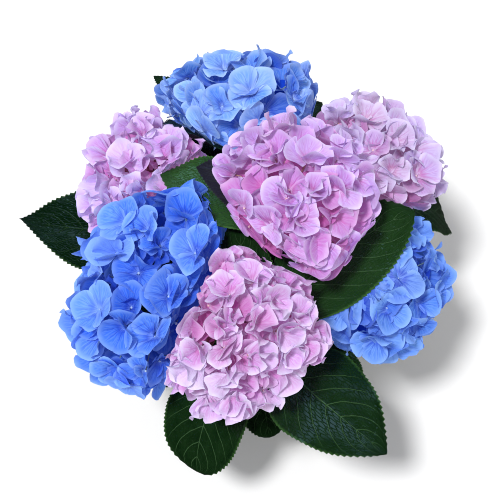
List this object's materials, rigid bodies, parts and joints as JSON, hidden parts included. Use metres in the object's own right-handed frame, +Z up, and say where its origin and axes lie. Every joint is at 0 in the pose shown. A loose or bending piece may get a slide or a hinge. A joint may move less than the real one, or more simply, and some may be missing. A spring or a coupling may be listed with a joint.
{
  "type": "hydrangea shrub",
  "caption": "Compact mophead hydrangea shrub: canes rise from one woody foot, each with serrated green leaves and a round pink or blue flower head.",
  "frame": {"origin": "centre of the flat cut under the woody foot, at ground level", "axes": "+Z up along the plant, -Y towards the plant's front, +X to its right seen from the front"},
  "size_m": [0.4995, 0.4537, 0.4639],
  "materials": {
    "bark": "rough grey-brown bark with lengthwise ridges",
    "cane_bark": "smooth light brown bark turning green upward",
    "leaf": "dark green quilted leaf with a soft waxy sheen",
    "pink_sepal": "matte lilac-pink petal-like sepals",
    "blue_sepal": "matte cornflower-blue petal-like sepals"
  },
  "bodies": {
    "root": {"trunk": "bark", "cane_blue_back": "cane_bark", "foliage_blue_back": "leaf", "flower_head_blue_back": "blue_sepal", "cane_pink_left": "cane_bark", "foliage_pink_left": "leaf", "flower_head_pink_left": "pink_sepal", "cane_pink_centre": "cane_bark", "foliage_pink_centre": "leaf", "flower_head_pink_centre": "pink_sepal", "cane_pink_right": "cane_bark", "foliage_pink_right": "leaf", "flower_head_pink_right": "pink_sepal", "cane_blue_left": "cane_bark", "foliage_blue_left": "leaf", "flower_head_blue_left": "blue_sepal", "cane_pink_front": "cane_bark", "foliage_pink_front": "leaf", "flower_head_pink_front": "pink_sepal", "cane_blue_right": "cane_bark", "foliage_blue_right": "leaf", "flower_head_blue_right": "blue_sepal"}
  },
  "joints": []
}
